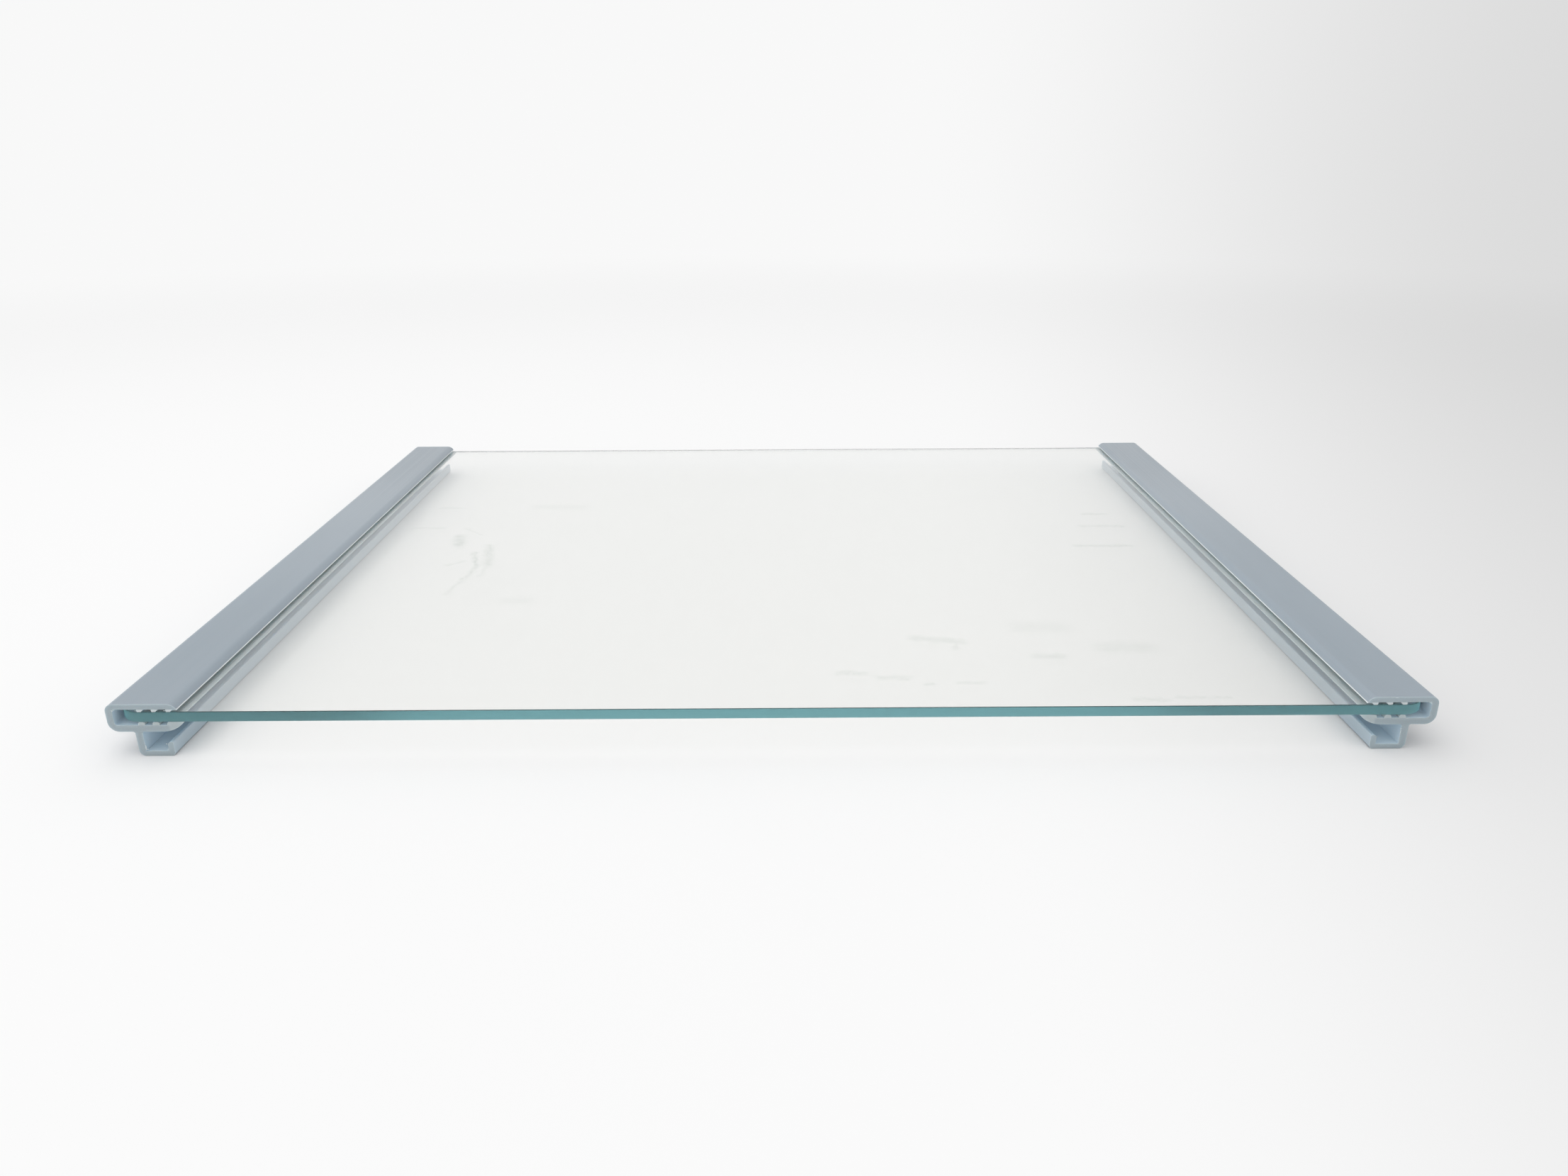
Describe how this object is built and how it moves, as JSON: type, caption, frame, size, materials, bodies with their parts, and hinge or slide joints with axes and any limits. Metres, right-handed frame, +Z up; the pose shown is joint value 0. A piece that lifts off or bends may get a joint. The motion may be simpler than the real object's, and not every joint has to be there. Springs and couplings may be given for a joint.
{
  "type": "refrigerator shelf",
  "caption": "Flat refrigerator shelf: a clear toughened glass pane gripped between extruded plastic side rails, each with a hooked foot along its whole depth.",
  "frame": {"origin": "middle of the shelf's width and depth, at the surface it stands on", "axes": "+X to the right across the width, +Y from the front edge to the rear edge, +Z up"},
  "size_m": [0.475, 0.38, 0.0206],
  "materials": {
    "glass": "clear toughened float glass with ground edges",
    "rail_plastic": "satin blue-grey extruded plastic with paler gripping ribs"
  },
  "bodies": {
    "root": {"glass_pane": "glass", "left_rail": "rail_plastic", "right_rail": "rail_plastic"}
  },
  "joints": []
}
